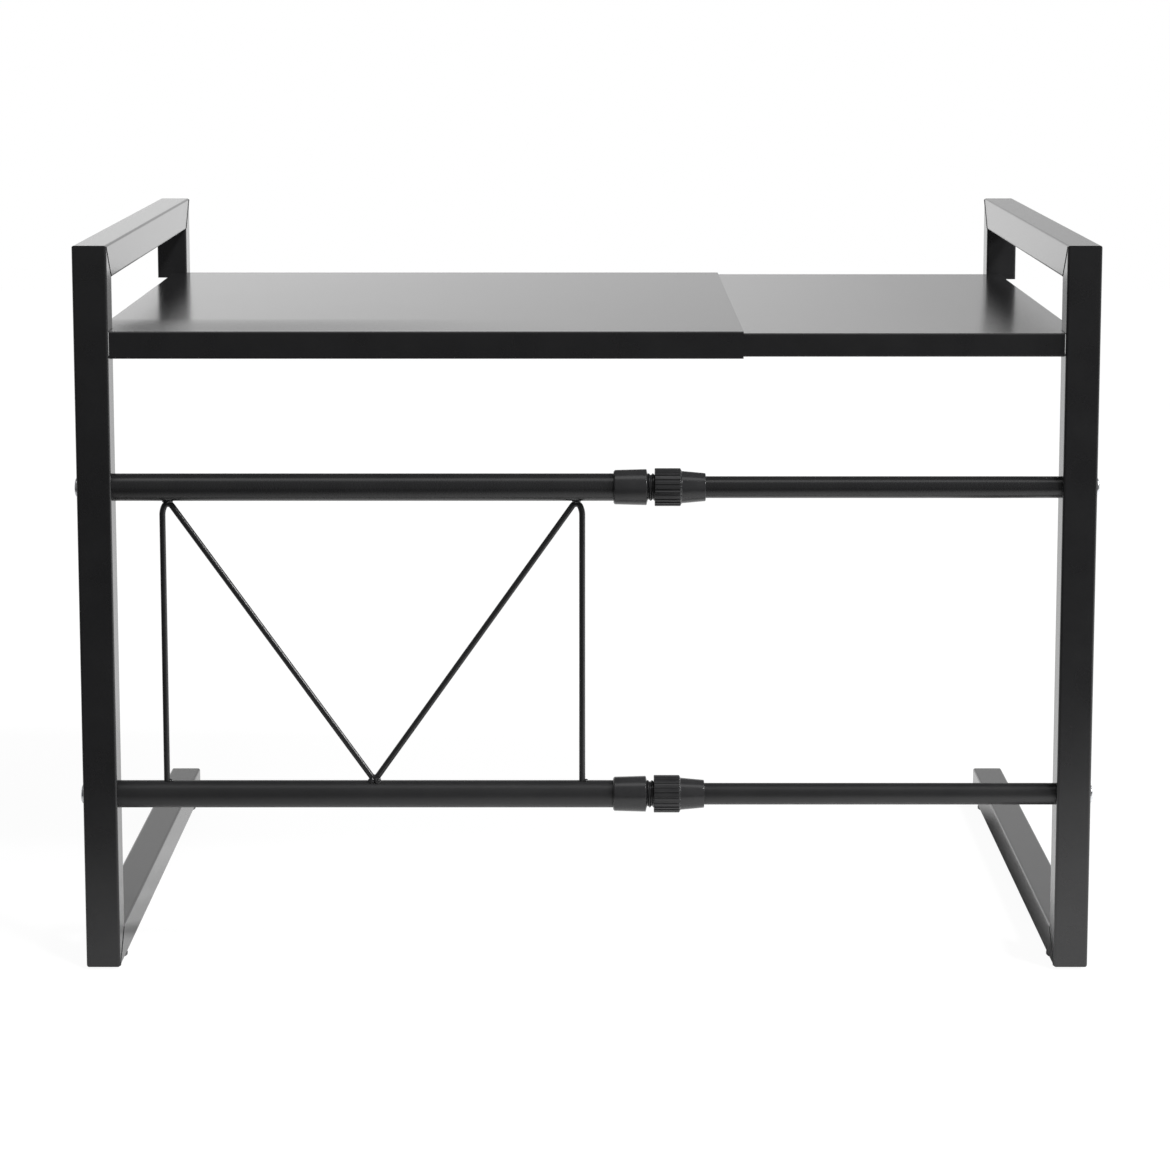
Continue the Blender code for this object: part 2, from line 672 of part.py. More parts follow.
def side_frame(label, side, rod_radius, body, paint, plastic, zinc):
    """The pieces that both sides have. The rod's radius is that of the tube at this side's post."""
    back_post(label + "_back_post", side, body, paint)
    top_rail(label + "_top_rail", side, body, paint)
    front_post(label + "_front_post", side, body, paint)
    foot_rail(label + "_foot_rail", side, body, paint)
    shelf_bearer(label + "_shelf_bearer", side, body, paint)
    foot_cap(label + "_foot_cap", side, body, plastic)
    post_plug(label + "_post_plug", side, body, plastic)
    for end, along, y in zip(("back", "front"), glide_places(), panel_screw_places()):
        foot_glide(f"{label}_{end}_glide", side, along, body, plastic)
        panel_screw(f"{label}_{end}_panel_screw", side, y, body, zinc)
    for level, height in RODS:
        rod_screw(f"{label}_{level}_rod_screw", side, height, body, zinc)
        rod_plug(f"{label}_{level}_rod_plug", side, rod_radius, height, body, plastic)


def build():
    clear_scene()
    paint = make_material("black_powder_coat", (0.016, 0.016, 0.017), 0.38, 0.0)
    plastic = make_material("black_plastic", (0.022, 0.022, 0.023), 0.55, 0.0)
    zinc = make_material("zinc_plate", (0.70, 0.71, 0.73), 0.28, 1.0)

    left = make_body("left_side", (LEFT * POST_X, POST_Y, 0.0))
    right = make_body("right_side", (RIGHT * POST_X, POST_Y, 0.0))
    side_frame("left", LEFT, OUTER_TUBE_RADIUS, left, paint, plastic, zinc)
    side_frame("right", RIGHT, INNER_TUBE_RADIUS, right, paint, plastic, zinc)
    shelf_panel("left_shelf_panel", LEFT, LEFT_PANEL_LENGTH, left, paint)
    shelf_panel("right_shelf_panel", RIGHT, RIGHT_PANEL_LENGTH, right, paint)
    wire_brace("wire_brace", left, paint)
    for level, height in RODS:
        rod_tube(level + "_outer_tube", LEFT, OUTER_TUBE_RADIUS, OUTER_TUBE_LENGTH, height, left, paint)
        rod_tube(level + "_inner_tube", RIGHT, INNER_TUBE_RADIUS, INNER_TUBE_LENGTH, height, right, paint)
        collet_sleeve(level + "_collet_sleeve", height, left, plastic)
        guide_plug(level + "_guide_plug", height, right, plastic)
        lock_nut(level + "_lock_nut", height, None, plastic)


build()
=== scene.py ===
"""Looks of the expandable metal shelf: finer pieces, finishes, studio light and camera.

Turned, moulded and bent pieces replace the solids that they are named after, and weld beads are added.
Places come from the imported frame, in metres, with +Z up. The camera looks along +Y at the two back posts,
so back is its side, and left and right are as it sees them.
"""

import math

import bmesh
import bpy
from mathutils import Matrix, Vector, noise


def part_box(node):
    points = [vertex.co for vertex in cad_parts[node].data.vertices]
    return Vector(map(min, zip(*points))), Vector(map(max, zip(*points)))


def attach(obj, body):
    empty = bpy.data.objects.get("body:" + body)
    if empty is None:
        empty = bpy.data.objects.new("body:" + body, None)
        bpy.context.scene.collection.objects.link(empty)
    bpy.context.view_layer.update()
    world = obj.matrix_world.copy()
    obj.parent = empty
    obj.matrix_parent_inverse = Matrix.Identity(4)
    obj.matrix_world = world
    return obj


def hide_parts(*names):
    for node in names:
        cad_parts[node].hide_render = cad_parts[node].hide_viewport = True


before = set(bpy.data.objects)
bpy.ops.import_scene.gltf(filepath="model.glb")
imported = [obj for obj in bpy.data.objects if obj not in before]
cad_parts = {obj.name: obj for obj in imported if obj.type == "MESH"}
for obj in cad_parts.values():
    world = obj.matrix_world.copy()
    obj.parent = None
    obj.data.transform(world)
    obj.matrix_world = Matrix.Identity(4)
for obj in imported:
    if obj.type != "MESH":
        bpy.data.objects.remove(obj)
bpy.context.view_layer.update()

LEVELS = ("upper", "lower")
SIDES = (("left", -1), ("right", 1))  # name and direction along X
ENDS = ("back", "front")
MM = 0.001

# Smoothness of the turned and rounded pieces
ROUND_STEPS = 72
SMALL_STEPS = 40
FILLET_STEPS = 4
CORNER_STEPS = 6
SMOOTH_ANGLE = math.radians(38)

# Rods
ROD_WALL = 0.8 * MM
ROD_END_FILLET = 0.3 * MM

# Collet sleeves
THROAT = 6.65 * MM  # radius of the hole round the inner tube, in the sleeve and in the nut's cone
COLLAR_LENGTH = 19.1 * MM
COLLAR_START_RADIUS = 10.0 * MM
COLLAR_END_RADIUS = 10.5 * MM
COLLAR_CHAMFER = 0.8 * MM
COLLAR_SHOULDER = 0.8 * MM
COLLAR_FILLET = 0.35 * MM
SOCKET_FLOOR = 0.8 * MM  # between the outer tube's socket and the collar's end
THREAD_ROOT = 7.2 * MM
THREAD_CREST = 8.05 * MM
THREAD_PITCH = 2.35 * MM
THREAD_FLANK = (0.15, 0.80)  # foot and top of a flank, as shares of half a pitch
THREAD_LEAD_IN = 0.4 * MM  # how far the first turn starts before the collar's end
THREAD_FADE = 0.35  # pitches past the collar's end over which the thread rises
THREAD_LENGTH = 9.0 * MM
THREAD_ROWS = 60

# Lock nuts
NUT_LENGTH = 15.7 * MM
NUT_RADIUS = 11.0 * MM
NUT_BORE = 8.15 * MM
NUT_SHOULDER = 0.9 * MM
NUT_FILLET = 0.3 * MM
NUT_RIBS = 24
NUT_RIB_POINTS = 12
NUT_RIB_DEPTH = 0.7 * MM
NUT_RIB_FLANK = (0.38, 0.72)  # edge of the crest and of the groove, as shares of half a rib
CONE_START_RADIUS = 9.4 * MM
CONE_END_RADIUS = 8.15 * MM
CONE_FILLET = 0.45 * MM

# Wire brace. Bends are radii of its centreline.
WIRE_RADIUS = 1.8 * MM
WIRE_SIDES = 18
WIRE_LEG_BEND = 12.0 * MM
WIRE_LEG_TURN = math.radians(25)
WIRE_BEND = 2.6 * MM
WIRE_LEG_STEPS = 8
WIRE_PEAK_STEPS = 24
WIRE_VALLEY_STEPS = 14
WIRE_SINK = 0.4 * MM  # how far its ends sit in the lower tube's wall

# Welds of the wire: offset from where it meets the tube, and half sizes, both along x, y and z
PEAK_WELDS = {
    "left_peak_weld": ((-0.3 * MM, 0.0, 0.0), (3.2 * MM, 2.6 * MM, 1.8 * MM)),
    "right_peak_weld": ((0.2 * MM, 0.0, 0.0), (2.4 * MM, 2.6 * MM, 1.7 * MM)),
}
VALLEY_WELDS = {
    "valley_weld_left": ((-1.6 * MM, -1.9 * MM, 0.1 * MM), (2.2 * MM, 2.3 * MM, 2.4 * MM)),
    "valley_weld_right": ((2.0 * MM, -2.3 * MM, -0.3 * MM), (2.1 * MM, 2.3 * MM, 2.8 * MM)),
}
FOOT_WELD = ((1.5 * MM, -0.4 * MM, 0.0), (2.2 * MM, 1.7 * MM, 1.1 * MM))
WELD_DEPTH = 0.5 * MM  # how far a weld goes into a tube's wall
WELD_DETAIL = 4
WELD_LUMPS = (0.22, 900.0)  # size, as a share of the weld, and noise scale
WELD_RIPPLES = (0.08, 2600.0)

# Square tubes and the welds in their mitres
TUBE_CORNER = 1.5 * MM
SEAM_RECESS = 1.0 * MM  # under the tubes' outside faces
SEAM_RISE = 0.3 * MM  # over the faces towards the shelf
SEAM_HALF = 0.45 * MM  # half its thickness, measured upright

# Screws. Shares are of the head's height or radius, and of the shaft's radius.
ROD_SCREW_SHAFT = 3.0 * MM  # radius
PANEL_SCREW_SHAFT = 2.0 * MM  # radius
TIP_RADIUS_SHARE = 0.6
TIP_LENGTH_SHARE = 0.4
HEAD_FILLET = 0.15 * MM
RIM_SHARE = 0.45  # height of the head's straight side
CROWN_STEPS = 8
CROWN_EYE_SHARE = 0.30  # radius that the crown's curve closes in on
CROWN_FLAT_SHARE = 0.29
RECESS_SLOT_SHARE = 0.2
RECESS_REACH_SHARE = 0.5
RECESS_DEPTH_SHARE = 0.6
RECESS_FLOOR_SCALE = 0.55
RECESS_MOUTH_SCALE = 1.35

# Foot caps. Shares are of the face's height over the tube's end, and of its half width.
CAP_PLAY = 1.5 * MM  # from the tube's outside face to the plug
CAP_PLUG_CORNER = 0.8 * MM
CAP_LEAD = 0.5 * MM
CAP_LEAD_LENGTH = 1.0 * MM
CAP_EDGE = 0.4 * MM
CAP_EDGE_STEPS = 6
CAP_RIM_SHARE = 0.45
CAP_ROUND_SHARE = 0.40
CAP_CROWN_SHARES = ((0.7, 0.93), (0.4, 0.98), (0.1, 1.0))  # half width and height

# Glides
GLIDE_STEM = 2.5 * MM  # radius
GLIDE_BEVEL = 1.2 * MM
GLIDE_BEVEL_HEIGHT = 0.5 * MM
GLIDE_SOLE_FILLET = 0.3 * MM
GLIDE_SIDE_FILLET = 0.4 * MM
GLIDE_TOP_FILLET = 0.2 * MM
GLIDE_SOLE_SHARES = (0.5, 0.6)  # radii of the sole's inner rings

# Noise fields: scale, detail and roughness
COAT_MOTTLE = (35.0, 3.0, 0.5)
COAT_PEEL = (900.0, 2.0, 0.55)
COAT_GRAIN = (2600.0, 2.0, 0.6)
SHEET_WAVE = (7.0, 1.0, 0.5)
PLASTIC_MOTTLE = (90.0, 3.0, 0.5)
PLASTIC_GRAIN = (3200.0, 3.0, 0.6)
ZINC_CLOUD = (420.0, 4.0, 0.5)
ZINC_MARKS = (5200.0, 2.0, 0.5)
NOISE_SPAN = (0.3, 0.7)  # part of a noise's output that is spread over a range

# Powder coat. Tones are the darkest and the lightest colour of a finish's mottle.
COAT_TONES = ((0.0135, 0.0135, 0.0142), (0.0175, 0.0175, 0.0182))
COAT_IOR = 1.52
COAT_ROUGHNESS = 0.19
COAT_SPECKLE = 0.04  # how far the roughness strays
COAT_RELIEF = 0.0025 * MM
ROD_ROUGHNESS = {"upper": 0.27, "lower": 0.42}
ROD_SPECKLE = 0.02
ROD_RELIEF = 0.001 * MM
WIRE_ROUGHNESS = 0.27
WIRE_SPECKLE = 0.01
WIRE_RELIEF = 0.0002 * MM
WELD_ROUGHNESS = 0.13
WELD_RELIEF = 0.005 * MM

# Bend of the sheet, in its finish only
SHEET_WAVE_HEIGHT = 0.1 * MM
LEFT_TILTS = ((-0.30, 0.001), (0.10, -0.007))  # x and slope at either end of the panel's twist
RIGHT_TILTS = ((0.09, 0.016), (0.28, -0.001))
LEFT_CORNER = ((0.0, -0.20), (-0.13, -0.235), 2.4 * MM)  # x and y between which it sinks, and how deep

# Moulded plastic
PLASTIC_TONES = ((0.021, 0.021, 0.022), (0.027, 0.027, 0.028))
PLASTIC_GLOSS = (0.19, 0.25)
PLASTIC_IOR = 1.5
PLASTIC_RELIEF = 0.012 * MM

# Zinc plate
ZINC_TONES = ((0.62, 0.63, 0.66), (0.76, 0.77, 0.78))
ZINC_GLOSS = (0.20, 0.34)
ZINC_RELIEF = 0.006 * MM

# Floor
FLOOR_SIZE = 4.0
FLOOR_PALE = 0.86
FLOOR_DARK = 0.05
FLOOR_WHITE = 1.06
FLOOR_WHITE_SHARE = 0.90  # of what the camera sees; the rest shows the shadow
FLOOR_EDGE = (-0.82, -0.14)  # y between which gloss sees it grow pale towards the shelf
FLOOR_SKEW = 0.4  # how far that comes nearer to the camera, per metre to the right
FLOOR_UNDER = (-0.10, 0.08)  # y between which gloss sees it glow white under the shelf, a painted light that stands for lamplight on the floor
FLOOR_BESIDE = (0.20, 0.255)  # x between which that painted light ends, near the right foot, so that the foot's shadow stays
FLOOR_BEHIND = (0.13, 0.22)  # y between which the painted light grows there too
FLOOR_PAINTED_GLOW_SHARE = 0.75  # how white the painted light gets

# Room and backdrop that gloss sees. Pairs are parts of a direction, from and to.
ROOM = 0.14
HORIZON = 1.25
BACKDROP_LEFT = 1.48
BACKDROP_RIGHT = 0.62
BACKDROP_HIGH = 0.70
BACKDROP_ACROSS = (-0.22, 0.22)  # x between which it changes from the left's to the right's brightness
BACKDROP_SIDE = (-0.05, 0.45)  # y between which the room changes to the backdrop
BACKDROP_FOOT = (-0.02, 0.075)  # z between which the horizon changes to the backdrop
BACKDROP_RISE = (0.05, 0.20)  # z between which it changes to its high part
BACKDROP_TOP = (0.30, 0.55)  # z between which it ends

# Lamps
KEY_FROM = (0.44, -0.52, 0.73)  # direction to the key
KEY_ANGLE = math.radians(10)
KEY_STRENGTH = 2.35
SOFTBOXES = {  # place, target, size and watts
    "top": ((0.0, -0.515, 1.5), (0.0, -0.2, 0.2), (1.6, 0.5), 3.0),
    "side": ((1.58, -0.39, 1.20), (-0.15, -0.2, 0.2), (1.1, 0.3), 32.0),
}

# Camera, matched to the photograph
CAMERA_PLACE = (-1.15 * MM, 1883.0 * MM, 582.75 * MM)  # x, distance from the posts' back faces, height
CAMERA_PITCH = math.radians(7.944)
CAMERA_LENS = 101.53
CAMERA_SENSOR = 36.0
CAMERA_SHIFT = -0.13


def skin(rings, loop=False):
    """Bmesh of rings of points, joined with quads.

    A loop joins the last ring to the first. Otherwise both ends are capped.
    """
    bm = bmesh.new()
    rows = [[bm.verts.new(point) for point in ring] for ring in rings]
    pairs = list(zip(rows, rows[1:]))
    if loop:
        pairs.append((rows[-1], rows[0]))
    for first, second in pairs:
        for i in range(len(first)):
            j = (i + 1) % len(first)
            bm.faces.new((first[i], first[j], second[j], second[i]))
    if not loop:
        bm.faces.new(rows[0])
        bm.faces.new(rows[-1])
    return bm


def mesh_object(name, bm):
    """Object of a bmesh, in the scene."""
    mesh = bpy.data.meshes.new(name)
    bm.to_mesh(mesh)
    bm.free()
    item = bpy.data.objects.new(name, mesh)
    bpy.context.scene.collection.objects.link(item)
    return item


def shade(item):
    """Smooth round faces and sharp edges."""
    item.data.shade_smooth()
    item.data.set_sharp_from_angle(angle=SMOOTH_ANGLE)


def piece(name, bm, material, body):
    """Makes a shown object of a bmesh, riding on its body."""
    bmesh.ops.recalc_face_normals(bm, faces=bm.faces)
    shown = mesh_object(name, bm)
    shown.data.materials.append(material)
    shade(shown)
    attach(shown, body)
    return shown


def clamp(share):
    """Keeps a share between 0 and 1."""
    return min(max(share, 0.0), 1.0)


def arc(centre, radius, steps, start, end):
    """Points of an arc from one angle to another."""
    turns = [start + (end - start) * i / steps for i in range(steps + 1)]
    return [(centre[0] + radius * math.cos(a), centre[1] + radius * math.sin(a)) for a in turns]


def rounded(corners, closed=False):
    """Rounds the corners of a profile of (along, radius, fillet) with tangent arcs."""
    points = []
    count = len(corners)
    for i, (along, radius, fillet) in enumerate(corners):
        here = Vector((along, radius))
        if fillet == 0 or (not closed and i in (0, count - 1)):
            points.append(tuple(here))
            continue
        before = (Vector(corners[i - 1][:2]) - here).normalized()
        after = (Vector(corners[(i + 1) % count][:2]) - here).normalized()
        half = before.angle(after) / 2
        start = here + before * fillet / math.tan(half)
        end = here + after * fillet / math.tan(half)
        centre = here + (before + after).normalized() * fillet / math.sin(half)
        sweep = math.pi - 2 * half
        for k in range(FILLET_STEPS + 1):
            share = k / FILLET_STEPS
            first = (start - centre) * math.sin((1 - share) * sweep)
            last = (end - centre) * math.sin(share * sweep)
            points.append(tuple(centre + (first + last) / math.sin(sweep)))
    return points


def rounded_square(half, corner):
    """Outline of a square with rounded corners, as (u, v) pairs."""
    points = []
    for quarter in range(4):
        centre_u = (half - corner) * (1 if quarter in (0, 3) else -1)
        centre_v = (half - corner) * (1 if quarter in (0, 1) else -1)
        for i in range(CORNER_STEPS + 1):
            angle = math.pi / 2 * (quarter + i / CORNER_STEPS)
            points.append((centre_u + corner * math.cos(angle), centre_v + corner * math.sin(angle)))
    return points


def ring_along_x(x, radius, y, z, steps=ROUND_STEPS):
    """Circle of points round a line along X."""
    turns = [2 * math.pi * i / steps for i in range(steps)]
    return [(x, y + radius * math.cos(a), z + radius * math.sin(a)) for a in turns]


def ring_along_z(z, radius, x, y, steps):
    """Circle of points round a line along Z."""
    turns = [2 * math.pi * i / steps for i in range(steps)]
    return [(x + radius * math.cos(a), y + radius * math.sin(a), z) for a in turns]


def axis_of(node):
    """Y and Z of a node that lies along X."""
    low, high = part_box(node)
    return (low.y + high.y) / 2, (low.z + high.z) / 2


def feed(tree, value, socket):
    """Sets a socket to a number, or links another socket to it."""
    if isinstance(value, (int, float)):
        socket.default_value = value
    else:
        tree.links.new(value, socket)


def combine(tree, operation, first, second):
    """Math node on two sockets or numbers."""
    node = tree.nodes.new("ShaderNodeMath")
    node.operation = operation
    feed(tree, first, node.inputs[0])
    feed(tree, second, node.inputs[1])
    return node.outputs["Value"]


def map_range(tree, source, spans, smooth=False):
    """Maps a socket from one span to another. Spans are (from start, from end, to start, to end)."""
    node = tree.nodes.new("ShaderNodeMapRange")
    if smooth:
        node.interpolation_type = "SMOOTHSTEP"
    for name, value in zip(("From Min", "From Max", "To Min", "To Max"), spans):
        node.inputs[name].default_value = value
    tree.links.new(source, node.inputs["Value"])
    return node.outputs["Result"]


def spread(tree, source, low, high):
    """Maps a noise's factor to a range."""
    return map_range(tree, source, (*NOISE_SPAN, low, high))


def ramp(tree, source, start, end, low, high):
    """Smooth change from low to high as the source goes from start to end."""
    return map_range(tree, source, (start, end, low, high), smooth=True)


def mix_values(tree, factor, first, second):
    """Mixes two numbers or sockets by a factor."""
    mix = tree.nodes.new("ShaderNodeMix")
    for name, value in (("Factor", factor), ("A", first), ("B", second)):
        feed(tree, value, mix.inputs[name])
    return mix.outputs["Result"]


def mix_colours(tree, factor, dark, light):
    """Mixes two colours by a factor."""
    mix = tree.nodes.new("ShaderNodeMix")
    mix.data_type = "RGBA"
    mix.inputs["A"].default_value = (*dark, 1.0)
    mix.inputs["B"].default_value = (*light, 1.0)
    tree.links.new(factor, mix.inputs["Factor"])
    return mix.outputs["Result"]


def mix_shaders(tree, factor, first, second):
    """Mixes two shaders by a factor."""
    mix = tree.nodes.new("ShaderNodeMixShader")
    tree.links.new(factor, mix.inputs["Fac"])
    tree.links.new(first, mix.inputs[1])
    tree.links.new(second, mix.inputs[2])
    return mix.outputs["Shader"]


def glow(tree, kind, strength):
    """Plain white emission or background shader."""
    shader = tree.nodes.new(kind)
    shader.inputs["Color"].default_value = (1.0, 1.0, 1.0, 1.0)
    feed(tree, strength, shader.inputs["Strength"])
    return shader.outputs[0]


def coordinates(tree, space):
    """X, Y and Z sockets of a texture coordinate."""
    place = tree.nodes.new("ShaderNodeTexCoord")
    split = tree.nodes.new("ShaderNodeSeparateXYZ")
    tree.links.new(place.outputs[space], split.inputs["Vector"])
    return split.outputs["X"], split.outputs["Y"], split.outputs["Z"]


def clear_rays(tree, path):
    """1 for the rays that show the background itself: the camera's, and those that pass through glass."""
    return combine(tree, "MAXIMUM", path.outputs["Is Camera Ray"], path.outputs["Is Transmission Ray"])


def add_noise(tree, scale, detail, roughness):
    """Noise in the piece's own space, so that it moves with the piece."""
    place = tree.nodes.new("ShaderNodeTexCoord")
    field = tree.nodes.new("ShaderNodeTexNoise")
    field.inputs["Scale"].default_value = scale
    field.inputs["Detail"].default_value = detail
    field.inputs["Roughness"].default_value = roughness
    tree.links.new(place.outputs["Object"], field.inputs["Vector"])
    return field.outputs["Fac"]


def add_bump(tree, height, distance, normal=None):
    """Normal bent by a height times a distance, on top of another normal."""
    bump = tree.nodes.new("ShaderNodeBump")
    bump.inputs["Strength"].default_value = 1.0
    bump.inputs["Distance"].default_value = distance
    tree.links.new(height, bump.inputs["Height"])
    if normal is not None:
        tree.links.new(normal, bump.inputs["Normal"])
    return bump.outputs["Normal"]


def new_material(name):
    """New material, with its node tree and its main shader."""
    material = bpy.data.materials.new(name)
    material.use_nodes = True
    return material, material.node_tree, material.node_tree.nodes["Principled BSDF"]


def add_texture(tree, shader, tones, tone_noise, gloss, gloss_noise, relief, relief_noise, bend=None):
    """Gives a shader a mottled colour, an uneven roughness and a fine relief, on top of a broad bend."""
    tone = spread(tree, add_noise(tree, *tone_noise), 0.0, 1.0)
    tree.links.new(mix_colours(tree, tone, *tones), shader.inputs["Base Color"])
    tree.links.new(spread(tree, add_noise(tree, *gloss_noise), *gloss), shader.inputs["Roughness"])
    tree.links.new(add_bump(tree, add_noise(tree, *relief_noise), relief, bend), shader.inputs["Normal"])


def sheet_bend(tree, tilts, corner):
    """Normal of slightly twisted and wavy sheet, which may have a sunk corner."""
    x, y, _ = coordinates(tree, "Object")
    (start, low), (end, high) = tilts
    slope = ramp(tree, x, start, end, -low, -high)
    bend = add_bump(tree, combine(tree, "MULTIPLY", slope, y), 1.0)
    if corner:
        along_x, along_y, depth = corner
        toward_end = ramp(tree, x, *along_x, 0.0, 1.0)
        toward_back = ramp(tree, y, *along_y, 0.0, -depth)
        bend = add_bump(tree, combine(tree, "MULTIPLY", toward_end, toward_back), 1.0, bend)
    return add_bump(tree, add_noise(tree, *SHEET_WAVE), SHEET_WAVE_HEIGHT, bend)


def powder_coat(
    name, roughness=COAT_ROUGHNESS, speckle=COAT_SPECKLE, relief=COAT_RELIEF, tilts=None, corner=None
):
    """Black powder coat with fine orange peel, a slight mottle and a speckled gloss.

    Tilts and a corner bend flat sheet.
    """
    material, tree, shader = new_material(name)
    gloss = (roughness - speckle, roughness + speckle)
    bend = sheet_bend(tree, tilts, corner) if tilts else None
    add_texture(tree, shader, COAT_TONES, COAT_MOTTLE, gloss, COAT_GRAIN, relief, COAT_PEEL, bend)
    shader.inputs["IOR"].default_value = COAT_IOR
    return material


def moulded_plastic(name):
    """Black moulded plastic with a fine spark-eroded grain."""
    material, tree, shader = new_material(name)
    add_texture(
        tree, shader, PLASTIC_TONES, PLASTIC_MOTTLE, PLASTIC_GLOSS, PLASTIC_MOTTLE,
        PLASTIC_RELIEF, PLASTIC_GRAIN,
    )
    shader.inputs["IOR"].default_value = PLASTIC_IOR
    return material


def bright_zinc(name):
    """Bright zinc plate with faint clouding and fine marks."""
    material, tree, shader = new_material(name)
    add_texture(tree, shader, ZINC_TONES, ZINC_CLOUD, ZINC_GLOSS, ZINC_CLOUD, ZINC_RELIEF, ZINC_MARKS)
    shader.inputs["Metallic"].default_value = 1.0
    return material


PLASTIC = moulded_plastic("black_plastic_look")
ZINC = bright_zinc("zinc_plate_look")
LOOKS = {
    "black_powder_coat": powder_coat("black_powder_coat_look"),
    "black_plastic": PLASTIC,
    "zinc_plate": ZINC,
}
SHEETS = {
    "left_shelf_panel": powder_coat(
        "black_powder_coat_left_sheet_look", tilts=LEFT_TILTS, corner=LEFT_CORNER
    ),
    "right_shelf_panel": powder_coat("black_powder_coat_right_sheet_look", tilts=RIGHT_TILTS),
}
ROD_PAINTS = {
    level: powder_coat(f"black_powder_coat_{level}_rod_look", ROD_ROUGHNESS[level], ROD_SPECKLE, ROD_RELIEF)
    for level in LEVELS
}
WIRE_PAINT = powder_coat("black_powder_coat_wire_look", WIRE_ROUGHNESS, WIRE_SPECKLE, WIRE_RELIEF)
WELD_PAINT = powder_coat("black_powder_coat_weld_look", WELD_ROUGHNESS, COAT_SPECKLE, WELD_RELIEF)


def dress_cad_nodes():
    """Gives every carried-over CAD node the finish of its own material."""
    for name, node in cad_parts.items():
        for slot in node.material_slots:
            label = slot.material.name.split(".")[0]
            slot.material = SHEETS.get(name, LOOKS[label])


def rod_tubes():
    """Round tubes that butt against their posts, with rolled ends."""
    for level in LEVELS:
        for kind, (label, side) in zip(("outer", "inner"), SIDES):
            node = f"{level}_{kind}_tube"
            low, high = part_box(node)
            post_low, post_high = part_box(label + "_back_post")
            y, z = axis_of(node)
            radius = (high.z - low.z) / 2
            bore = radius - ROD_WALL
            root = post_high.x if side < 0 else post_low.x
            free = high.x if side < 0 else low.x
            profile = rounded([
                (root, bore, 0),
                (root, radius, 0),
                (free, radius, ROD_END_FILLET),
                (free, bore, ROD_END_FILLET),
            ], closed=True)
            bm = skin([ring_along_x(x, r, y, z) for x, r in profile], loop=True)
            tube = piece(node + "_fine", bm, ROD_PAINTS[level], label + "_side")
            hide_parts(node)


def thread_radius(past_collar, turn):
    """Radius of the neck at a distance past the collar's end and at a turn from 0 to 1."""
    phase = ((past_collar + THREAD_LEAD_IN) / THREAD_PITCH - turn) % 1.0
    foot, top = THREAD_FLANK
    ridge = clamp((1 - abs(2 * phase - 1) - foot) / (top - foot))
    rise = clamp(past_collar / (THREAD_FADE * THREAD_PITCH))
    return THREAD_ROOT + (THREAD_CREST - THREAD_ROOT) * ridge * rise


def collet_sleeves():
    """Collars with a filleted mouth and shoulder, and a real thread on the neck."""
    for level in LEVELS:
        node = level + "_collet_sleeve"
        low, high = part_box(node)
        y, z = axis_of(node)
        tube_low, tube_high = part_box(level + "_outer_tube")
        socket = (tube_high.z - tube_low.z) / 2
        collar_end = low.x + COLLAR_LENGTH
        neck = collar_end + COLLAR_SHOULDER
        collar = rounded([
            (low.x, socket, 0),
            (low.x, COLLAR_START_RADIUS - COLLAR_CHAMFER, COLLAR_FILLET),
            (low.x + COLLAR_CHAMFER, COLLAR_START_RADIUS, COLLAR_FILLET),
            (collar_end, COLLAR_END_RADIUS, COLLAR_FILLET),
            (neck, THREAD_ROOT, 0),
        ])
        rings = [ring_along_x(x, r, y, z) for x, r in collar[:-1]]
        for row in range(THREAD_ROWS + 1):
            x = neck + THREAD_LENGTH * row / THREAD_ROWS
            ring = []
            for i in range(ROUND_STEPS):
                turn = i / ROUND_STEPS
                r = thread_radius(x - collar_end, turn)
                angle = 2 * math.pi * turn
                ring.append((x, y + r * math.cos(angle), z + r * math.sin(angle)))
            rings.append(ring)
        for x, r in (
            (high.x, THREAD_ROOT),
            (high.x, THROAT),
            (collar_end - SOCKET_FLOOR, THROAT),
            (collar_end - SOCKET_FLOOR, socket),
        ):
            rings.append(ring_along_x(x, r, y, z))
        sleeve = piece(node + "_fine", skin(rings, loop=True), PLASTIC, "left_side")
        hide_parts(node)


def groove_share(turn):
    """How deep a rib's outline is at a turn from 0 to 1 within it: 0 on the crest and 1 in the groove."""
    crest, groove = NUT_RIB_FLANK
    share = clamp((abs(2 * turn - 1) - crest) / (groove - crest))
    return share * share * (3 - 2 * share)


def lock_nuts():
    """Lock nuts with rounded ribs, a steep shoulder, a long cone and a filleted lip."""
    for level in LEVELS:
        node = level + "_lock_nut"
        low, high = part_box(node)
        y, z = axis_of(node)
        cone = low.x + NUT_LENGTH
        shoulder = cone - NUT_SHOULDER
        profile = rounded([
            (low.x, NUT_BORE, NUT_FILLET),
            (low.x, NUT_RADIUS, NUT_FILLET),
            (shoulder, NUT_RADIUS, NUT_FILLET),
            (cone, CONE_START_RADIUS, NUT_FILLET),
            (high.x, CONE_END_RADIUS, CONE_FILLET),
            (high.x, THROAT, NUT_FILLET),
            (cone, THROAT, 0),
            (cone, NUT_BORE, 0),
        ], closed=True)
        count = NUT_RIBS * NUT_RIB_POINTS
        rings = []
        for x, r in profile:
            ribbed = r > NUT_RADIUS - 2 * NUT_FILLET and x < shoulder + NUT_FILLET
            depth = NUT_RIB_DEPTH if ribbed else 0.0
            ring = []
            for i in range(count):
                angle = 2 * math.pi * i / count
                cut = r - depth * groove_share(i / NUT_RIB_POINTS % 1.0)
                ring.append((x, y + cut * math.cos(angle), z + cut * math.sin(angle)))
            rings.append(ring)
        nut = piece(node + "_fine", skin(rings, loop=True), PLASTIC, level + "_lock_nut")
        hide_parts(node)


